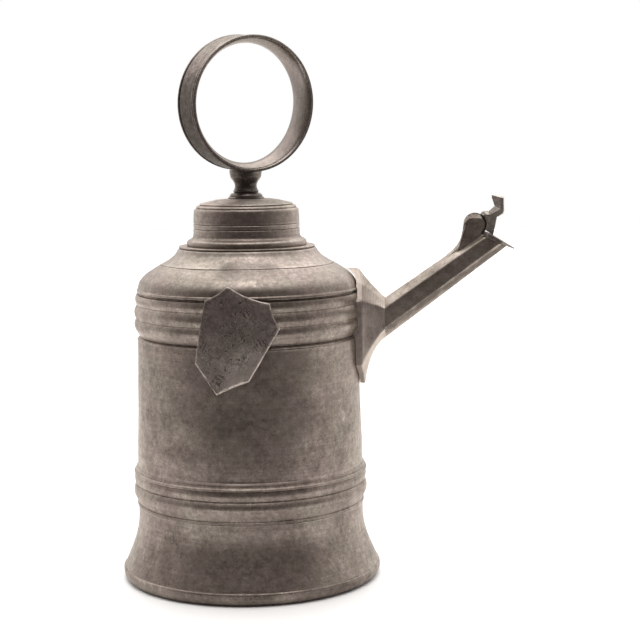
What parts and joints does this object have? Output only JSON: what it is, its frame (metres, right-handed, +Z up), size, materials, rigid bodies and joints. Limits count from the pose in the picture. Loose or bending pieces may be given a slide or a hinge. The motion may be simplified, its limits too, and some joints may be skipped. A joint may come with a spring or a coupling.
{
  "type": "wine jug",
  "caption": "Bell-shaped pewter wine jug with moulded bands, a long angular spout closed by a hinged flap, a shield plate, and a lift-off lid carried by an upright ring handle.",
  "frame": {"origin": "under the middle of the whole object's box, on the surface it stands on", "axes": "+Z up along the jug's axis, +X towards the mouth of the spout, the shield plate on the -Y side"},
  "size_m": [0.2566, 0.1686, 0.351],
  "materials": {
    "pewter": "old, worn satin pewter with a brown-grey patina"
  },
  "bodies": {
    "jug": {"foot_ring": "pewter", "floor_disc": "pewter", "skirt": "pewter", "lower_band": "pewter", "drum": "pewter", "upper_band": "pewter", "shoulder": "pewter", "neck_collar": "pewter", "spout_boot": "pewter", "spout_tube": "pewter", "hinge_bracket": "pewter", "hinge_pin": "pewter", "shield": "pewter"},
    "flap": {"flap_blade": "pewter", "thumb_lever": "pewter"},
    "lid": {"lid_wall": "pewter", "lid_cap": "pewter", "knop": "pewter", "ring_handle": "pewter"}
  },
  "joints": [
    {"name": "flap_hinge", "type": "hinge", "parent": "jug", "child": "flap", "pos_m": [0.10296, 0, 0.22847], "axis": [0, -1, 0], "range_deg": [0, 105]},
    {"name": "lid_lift", "type": "slide", "parent": "jug", "child": "lid", "axis": [0, 0, 1], "range_m": [0, 0.04]}
  ]
}
